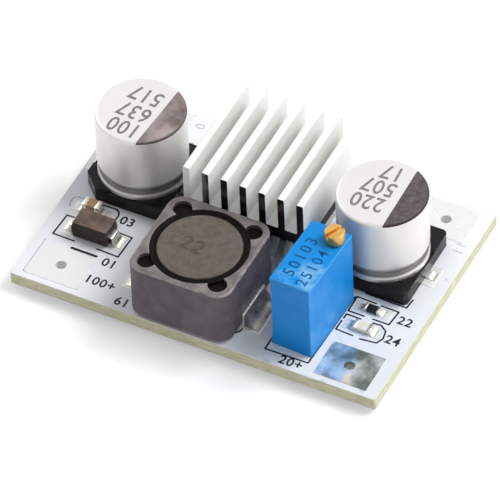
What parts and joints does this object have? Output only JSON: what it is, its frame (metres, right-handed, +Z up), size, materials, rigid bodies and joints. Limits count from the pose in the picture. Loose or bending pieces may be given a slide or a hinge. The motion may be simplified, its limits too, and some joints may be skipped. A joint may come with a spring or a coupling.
{
  "type": "boost converter module",
  "caption": "Small circuit module that steps a DC voltage up, with a finned heatsink, a shielded inductor, smoothing capacitors and a screw-adjusted trimmer.",
  "frame": {"origin": "under the centre of the circuit board, level with the tips of the trimmer's pins, 0.65 mm below the board's underside", "axes": "+X along the front edge from the output side to the input side, +Y towards the heatsink edge, +Z up through the components"},
  "size_m": [0.0434, 0.03, 0.0137],
  "materials": {
    "board": "white solder mask over pale yellow-green laminate",
    "tinned_copper": "bright tin",
    "solder": "bright solder",
    "can_aluminium": "satin drawn aluminium with a dark printed segment",
    "carrier_plastic": "black moulded plastic",
    "lead_metal": "tinned strip",
    "shield_ferrite": "dark grey ground ferrite",
    "core_ferrite": "brown-grey lacquered ferrite",
    "copper_wire": "enamelled copper",
    "core_glue": "dark cured resin",
    "chip_epoxy": "black moulded epoxy",
    "adhesive": "white thermal adhesive",
    "heatsink_aluminium": "satin extruded aluminium",
    "trimmer_plastic": "blue moulded plastic",
    "screw_brass": "turned brass",
    "seal_rubber": "black rubber",
    "rotor_plastic": "natural moulded plastic",
    "wiper_metal": "spring alloy",
    "element_ceramic": "white alumina",
    "track_film": "fired resistance film",
    "potting_epoxy": "cured epoxy",
    "diode_epoxy": "dark brown moulded epoxy",
    "capacitor_ceramic": "tan sintered ceramic",
    "resistor_black": "black glazed ceramic",
    "resistor_cream": "cream ceramic"
  },
  "bodies": {
    "board": {"pcb": "board", "corner_terminals": "tinned_copper", "via": "tinned_copper", "solder_lands": "tinned_copper", "surface_solder": "solder", "pin_solder": "solder", "output_capacitor_can": "can_aluminium", "output_capacitor_carrier": "carrier_plastic", "output_capacitor_leads": "lead_metal", "input_capacitor_can": "can_aluminium", "input_capacitor_carrier": "carrier_plastic", "input_capacitor_leads": "lead_metal", "inductor_shield": "shield_ferrite", "inductor_drum_core": "core_ferrite", "inductor_winding": "copper_wire", "inductor_glue": "core_glue", "inductor_terminals": "lead_metal", "converter_chip_body": "chip_epoxy", "converter_chip_tab": "lead_metal", "converter_chip_leads": "lead_metal", "thermal_adhesive": "adhesive", "heatsink": "heatsink_aluminium", "trimmer_housing": "trimmer_plastic", "trimmer_seal": "seal_rubber", "trimmer_element": "element_ceramic", "trimmer_track": "track_film", "trimmer_pins": "lead_metal", "trimmer_potting": "potting_epoxy", "diode_body": "diode_epoxy", "diode_leads": "lead_metal", "ceramic_capacitor_body": "capacitor_ceramic", "ceramic_capacitor_end_caps": "solder", "divider_resistor_body": "resistor_black", "divider_resistor_end_caps": "solder", "bias_resistor_body": "resistor_cream", "bias_resistor_end_caps": "solder"},
    "screw": {"trimmer_screw": "screw_brass"},
    "rotor": {"trimmer_rotor": "rotor_plastic", "trimmer_wiper": "wiper_metal"}
  },
  "joints": [
    {"name": "trimmer_screw_turn", "type": "hinge", "parent": "board", "child": "screw", "pos_m": [0.01212, -0.00445, 0.01225], "axis": [0, 0, 1], "range_deg": [-4500, 4500]},
    {"name": "trimmer_rotor_turn", "type": "hinge", "parent": "board", "child": "rotor", "pos_m": [0.01197, -0.0082, 0.00775], "axis": [0.9992, -0.0401, 0], "range_deg": [-140.7, 140.7]}
  ],
  "couplings": [
    {"joint": "trimmer_rotor_turn", "follows": "trimmer_screw_turn", "ratio": -0.03125}
  ]
}
